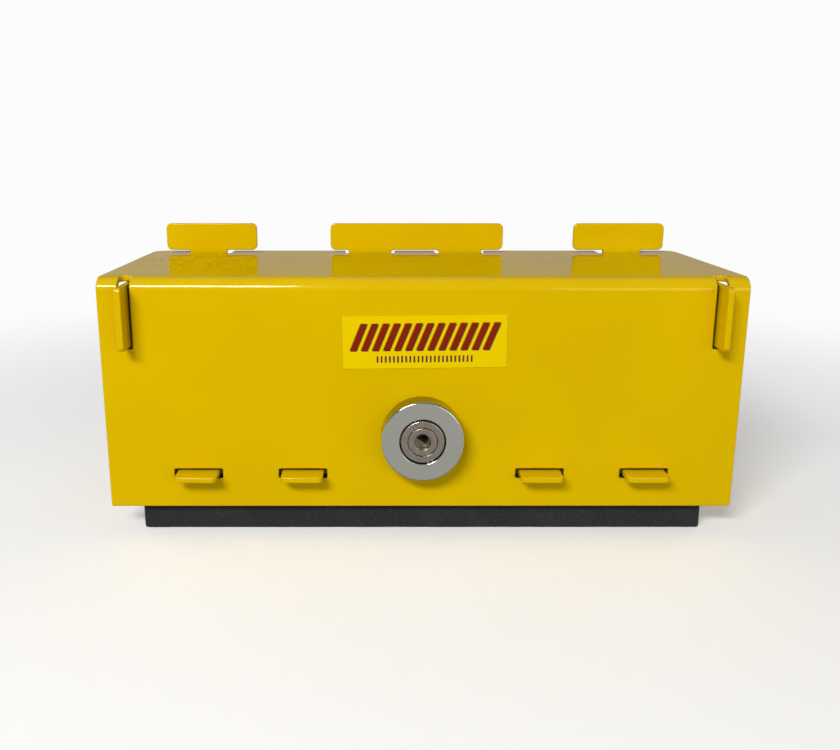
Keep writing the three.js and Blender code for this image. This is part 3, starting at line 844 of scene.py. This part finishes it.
EDGES = {
    "yellow_powder_coat": 0.6,
    "zinc_steel": 0.2,
    "disc_brass": 0.1,
    "black_plastic": 0.3,
    "label_vinyl": 0.05,
}
foam_pad()
spindle()
for row in ("front", "rear"):
    for place in (1, 2, 3):
        bait_block(f"bait_block_{row}_{place}")
turned("guard_ring", 1, 0.6)
turned("lock_core", 1, 0.3)
lock_barrel()
for row in ("front", "rear"):
    turned(f"rod_cap_{row}", 0, 0.4)
for row in ("front", "rear"):
    turned(f"bait_rod_{row}", 0, 0.3)
nut("lock_nut", 1, 9.8)
nut("cam_nut", 1, 2.6)
for side in ("left", "right"):
    nut(f"bracket_nut_{side}", 2, 3.3)
    hex_bolt(f"bracket_bolt_{side}", 3.0 * MM, 1.0 * MM)
remade = {name.removesuffix("_finished") for name in bpy.data.objects.keys() if name.endswith("_finished")}
for node in frame["nodes"]:
    if node not in remade:
        refined(node, EDGES[SLOT_OF[node]])


# ---- Studio and camera ----


def area_light(name, at, to, size, power):
    """A soft light turned to a place, with its width and height in metres and its power in watts."""
    data = bpy.data.lights.new(name, "AREA")
    data.shape = "RECTANGLE"
    data.size, data.size_y = size
    data.energy = power
    light = bpy.data.objects.new(name, data)
    light.location = at
    light.rotation_mode = "QUATERNION"
    light.rotation_quaternion = (Vector(to) - Vector(at)).to_track_quat("-Z", "Y")
    bpy.context.scene.collection.objects.link(light)


def hide_from(staged, *rays):
    """Keeps a part of the studio out of what these kinds of ray meet."""
    for ray in rays:
        setattr(staged, f"visible_{ray}", False)


def stage_mesh(name, verts, faces, material):
    mesh = bpy.data.meshes.new(name)
    mesh.from_pydata(verts, [], faces)
    mesh.materials.append(material)
    staged = bpy.data.objects.new(name, mesh)
    bpy.context.scene.collection.objects.link(staged)
    return staged


STAGE_REACH = 4.0
STAGE_HEIGHT = 5.0
STAGE_SIDES = 64
FLOOR_BELOW = 0.2 * MM
FLOOR_GLOW = 0.22
BACKDROP_GLOW = 0.97
PAPER = 0.94
PAPER_TO = 0.18
GLOW_FROM = 0.75


def floor_paper():
    """White paper: plain near the object and, further off, as bright as the backdrop that it runs into."""
    s = Shader("floor_paper")
    away = s.vector("LENGTH", s.place, output="Value")
    reach = {"Value": away, "From Min": PAPER_TO, "From Max": GLOW_FROM}
    far = s.node("ShaderNodeMapRange", reach, interpolation_type="SMOOTHSTEP")
    return s.finish(
        Base_Color=s.mix(far, grey(PAPER), grey(0.0)),
        Roughness=0.9,
        Specular_IOR_Level=0.0,
        Emission_Color=grey(1.0),
        Emission_Strength=s.range(far, 0, 1, FLOOR_GLOW, BACKDROP_GLOW),
    )


def backdrop_light():
    s = Shader("backdrop_light")
    return s.finish(
        Base_Color=grey(0.0),
        Specular_IOR_Level=0.0,
        Emission_Color=grey(1.0),
        Emission_Strength=BACKDROP_GLOW,
    )


def stage():
    """A white floor and a round backdrop. Reflections look past both to the room's own light."""
    turns = [2 * math.pi * i / STAGE_SIDES for i in range(STAGE_SIDES)]
    rim = [(STAGE_REACH * math.cos(turn), STAGE_REACH * math.sin(turn)) for turn in turns]
    ground = [(x, y, -FLOOR_BELOW) for x, y in rim]
    ceiling = [(x, y, STAGE_HEIGHT) for x, y in rim]
    following = [(i + 1) % STAGE_SIDES for i in range(STAGE_SIDES)]
    walls = [(i, n, STAGE_SIDES + n, STAGE_SIDES + i) for i, n in enumerate(following)]
    lid = range(STAGE_SIDES, 2 * STAGE_SIDES)
    floor = stage_mesh("floor", ground, [range(STAGE_SIDES)], floor_paper())
    hide_from(floor, "diffuse", "glossy")
    backdrop = stage_mesh("backdrop", ground + ceiling, [*walls, lid], backdrop_light())
    hide_from(backdrop, "diffuse", "glossy", "transmission", "shadow")


# The room's light by height, as (height, brightness): 0 is straight down, 0.5 the horizon and 1 straight up

SKY = (
    (0.0, 0.2),
    (0.3, 0.44),
    (0.5, 0.46),
    (0.51, 0.5),
    (0.535, 0.46),
    (0.56, 0.41),
    (0.64, 0.2),
    (0.8, 0.13),
    (0.9, 0.13),
    (1.0, 0.3),
)


def sky():
    """The room's light: a world that is lit by height alone, and a little warm."""
    world = bpy.data.worlds.new("studio")
    world.use_nodes = True
    tree = world.node_tree
    direction = tree.nodes.new("ShaderNodeTexCoord")
    split = tree.nodes.new("ShaderNodeSeparateXYZ")
    height = tree.nodes.new("ShaderNodeMapRange")
    ramp = tree.nodes.new("ShaderNodeValToRGB")
    height.inputs["From Min"].default_value = -1.0
    tree.links.new(direction.outputs["Generated"], split.inputs[0])
    tree.links.new(split.outputs["Z"], height.inputs["Value"])
    tree.links.new(height.outputs[0], ramp.inputs[0])
    tree.links.new(ramp.outputs[0], tree.nodes["Background"].inputs["Color"])
    stops = ramp.color_ramp.elements
    while len(stops) < len(SKY):
        stops.new(0.5)
    for stop, (at, value) in zip(stops, SKY):
        stop.position = at
        stop.color = (value, value * 0.985, value * 0.96, 1)
    bpy.context.scene.world = world


def lights():
    """A window high on the left, the room in front on the right, and a soft light behind each end."""
    area_light("window", at=(-0.56, -1.27, 1.0), to=(0, 0, 0.08), size=(0.7, 0.28), power=19.9)
    area_light("room", at=(1.3, -2.3, 0.5), to=(0, 0, 0.03), size=(1.6, 0.8), power=9.4)
    for side, x in (("left", -2.0), ("right", 2.0)):
        area_light(f"rear_{side}", at=(x, 1.9, 0.45), to=(0, 0, 0.06), size=(1.2, 0.6), power=9.0)


def camera():
    """In front of the station, a little to its left, looking slightly down."""
    data = bpy.data.cameras.new("camera")
    data.lens = 37.534
    data.sensor_width = 36.0
    data.shift_x = 0.0455
    data.shift_y = -0.0174
    data.clip_start = 0.01
    made = bpy.data.objects.new("camera", data)
    made.location = (-0.0205, FACE_Y - 0.4167, 0.1903)
    pitch, yaw, roll = (math.radians(a) for a in (13.48, 0.07, -0.01))
    made.rotation_euler = (math.pi / 2 - pitch, roll, -yaw)
    bpy.context.scene.collection.objects.link(made)
    bpy.context.scene.camera = made


stage()
sky()
lights()
camera()
bpy.context.scene.view_settings.view_transform = "Standard"
